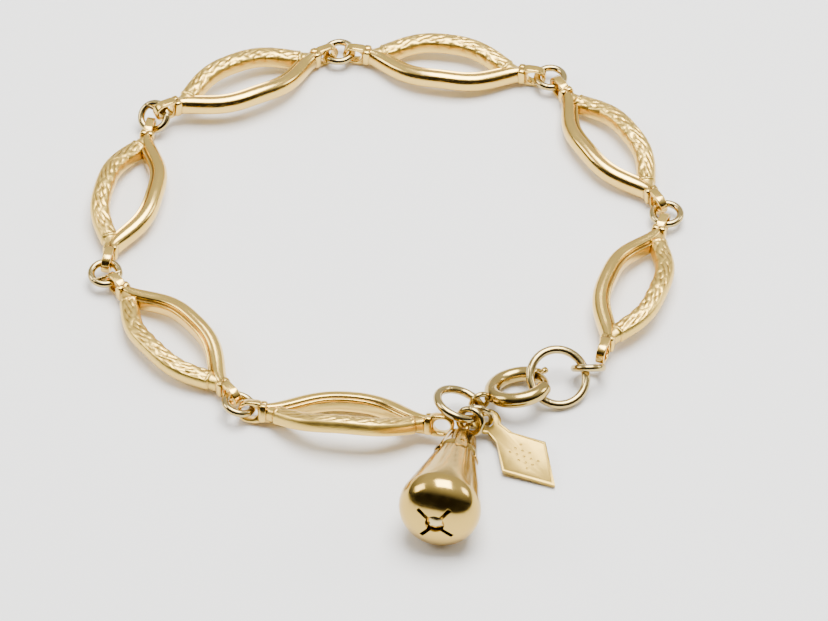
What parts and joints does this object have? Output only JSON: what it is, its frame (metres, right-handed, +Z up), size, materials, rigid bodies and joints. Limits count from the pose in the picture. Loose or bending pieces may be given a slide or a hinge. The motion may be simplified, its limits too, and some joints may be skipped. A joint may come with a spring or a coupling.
{
  "type": "charm bracelet",
  "caption": "Gold-tone bracelet of open leaf-shaped links on jump rings, with a spring ring clasp, a hollow bell charm and a small lozenge tag, lying as a closed loop.",
  "frame": {"origin": "on the surface, under the middle of the whole loop's bounding box", "axes": "+Z up from the surface, -Y towards the side where the bell hangs, +X towards the clasp's side"},
  "size_m": [0.0672, 0.0764, 0.0089],
  "materials": {
    "polished_gold": "polished gold plate, one bar of each link chased",
    "pale_gold": "polished pale gold wire",
    "clasp_gold": "polished gold tube",
    "bell_gold": "polished gold sheet",
    "dark_brass": "dull brass"
  },
  "bodies": {
    "bracelet": {"leaf_link_1": "polished_gold", "leaf_link_2": "polished_gold", "leaf_link_3": "polished_gold", "leaf_link_4": "polished_gold", "leaf_link_5": "polished_gold", "leaf_link_6": "polished_gold", "leaf_link_7": "polished_gold", "jump_ring_1": "pale_gold", "jump_ring_2": "pale_gold", "jump_ring_3": "pale_gold", "jump_ring_4": "pale_gold", "jump_ring_5": "pale_gold", "jump_ring_6": "pale_gold", "jump_ring_7": "pale_gold", "closing_ring": "pale_gold", "big_ring": "pale_gold", "bail_ring": "pale_gold", "tag_ring": "pale_gold", "clasp_body": "clasp_gold", "bell_charm": "bell_gold", "bell_pea": "dark_brass", "tag": "bell_gold"},
    "clasp_bolt": {"clasp_bolt": "clasp_gold"}
  },
  "joints": [
    {"name": "clasp_bolt_slide", "type": "hinge", "parent": "bracelet", "child": "clasp_bolt", "pos_m": [0.01451, -0.01599, 0.00211], "axis": [-0.1631, 0.3522, 0.9216], "range_deg": [0, 40], "stiffness_Nm_per_rad": 0.004, "springref_deg": -20.05}
  ]
}
